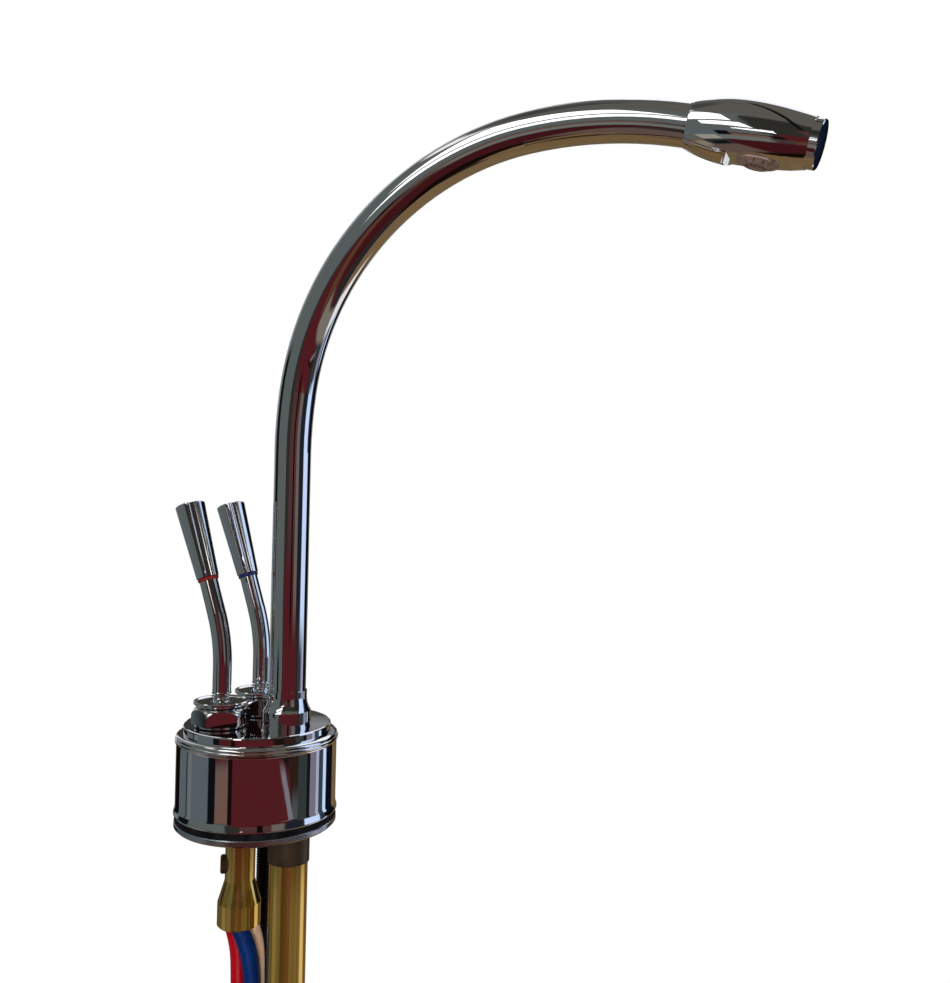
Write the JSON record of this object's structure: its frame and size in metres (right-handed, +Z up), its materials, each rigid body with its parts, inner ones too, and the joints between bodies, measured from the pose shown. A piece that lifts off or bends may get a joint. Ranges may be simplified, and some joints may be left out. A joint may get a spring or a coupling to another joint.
{
  "type": "boiling water tap",
  "caption": "Deck-mounted boiling water tap with an arched swivel spout, twin tilting levers on a round base, and a brass tail and plastic tubes below.",
  "frame": {"origin": "centre of the base ring's underside, on the plane of the worktop", "axes": "+Z up from the worktop, +X from the base towards the outlet head at the spout's rest pose, hot lever on the -Y side and cold lever on the +Y side"},
  "size_m": [0.2147, 0.0562, 0.552],
  "materials": {
    "chrome": "polished",
    "steel_ring": "satin",
    "rubber": "matte",
    "brass": "satin",
    "seat_plastic": "matte",
    "spring_steel": "bright",
    "pin_steel": "bright",
    "red_plastic": "gloss",
    "blue_plastic": "gloss",
    "end_disc": "gloss",
    "nozzle_plastic": "satin",
    "dark_plastic": "satin",
    "dark_steel": "satin",
    "zinc_steel": "satin",
    "red_tube": "gloss",
    "blue_tube": "gloss",
    "natural_tube": "satin"
  },
  "bodies": {
    "base": {"base_ring": "steel_ring", "base_gasket": "rubber", "base_shell": "chrome", "top_disc": "chrome", "valve_block": "brass", "valve_seats": "zinc_steel", "hot_bonnet": "chrome", "cold_bonnet": "chrome", "hot_cap": "chrome", "cold_cap": "chrome", "bonnet_washers": "rubber", "hot_ball_seat": "seat_plastic", "cold_ball_seat": "seat_plastic", "lever_pins": "pin_steel", "hot_spring": "spring_steel", "cold_spring": "spring_steel", "hot_rod_ring": "rubber", "cold_rod_ring": "rubber", "spout_foot": "chrome", "tube_sleeve": "brass", "sleeve_screw": "dark_plastic", "sleeve_grommet": "rubber", "inlet_tail": "brass", "tail_collar": "dark_plastic", "mounting_stud": "dark_steel", "clamp_pad": "rubber", "clamp_plate": "zinc_steel", "clamp_nut": "brass", "hot_tube": "red_tube", "cold_tube": "blue_tube", "vent_tube": "natural_tube"},
    "spout": {"spout_tube": "chrome", "spout_bush": "brass", "spout_orings": "rubber", "head_adaptor": "chrome", "head_body": "chrome", "head_end_ring": "chrome", "head_end_disc": "end_disc", "nozzle": "nozzle_plastic", "nozzle_screen": "zinc_steel", "nozzle_washer": "rubber"},
    "hot_lever": {"hot_stem": "chrome", "hot_mark": "red_plastic", "hot_grip": "chrome"},
    "cold_lever": {"cold_stem": "chrome", "cold_mark": "blue_plastic", "cold_grip": "chrome"},
    "hot_valve": {"hot_plunger": "brass", "hot_seal": "rubber"},
    "cold_valve": {"cold_plunger": "brass", "cold_seal": "rubber"}
  },
  "joints": [
    {"name": "spout_swivel", "type": "hinge", "parent": "base", "child": "spout", "pos_m": [0.012, 0, 0.03], "axis": [0, 0, 1], "range_deg": [-110, 110]},
    {"name": "hot_tilt", "type": "hinge", "parent": "base", "child": "hot_lever", "pos_m": [-0.00735, -0.0112, 0.0395], "axis": [0, -1, 0], "range_deg": [0, 15], "stiffness_Nm_per_rad": 0.5, "springref_deg": -2.86},
    {"name": "cold_tilt", "type": "hinge", "parent": "base", "child": "cold_lever", "pos_m": [-0.00735, 0.0112, 0.0395], "axis": [0, -1, 0], "range_deg": [0, 15], "stiffness_Nm_per_rad": 0.5, "springref_deg": -2.86},
    {"name": "hot_press", "type": "slide", "parent": "base", "child": "hot_valve", "axis": [0, 0, -1], "range_m": [0, 0.00066], "deforming": ["hot_spring"]},
    {"name": "cold_press", "type": "slide", "parent": "base", "child": "cold_valve", "axis": [0, 0, -1], "range_m": [0, 0.00066], "deforming": ["cold_spring"]}
  ],
  "couplings": [
    {"joint": "hot_press", "follows": "hot_tilt", "m_per_rad": 0.0025075},
    {"joint": "cold_press", "follows": "cold_tilt", "m_per_rad": 0.0025075}
  ]
}
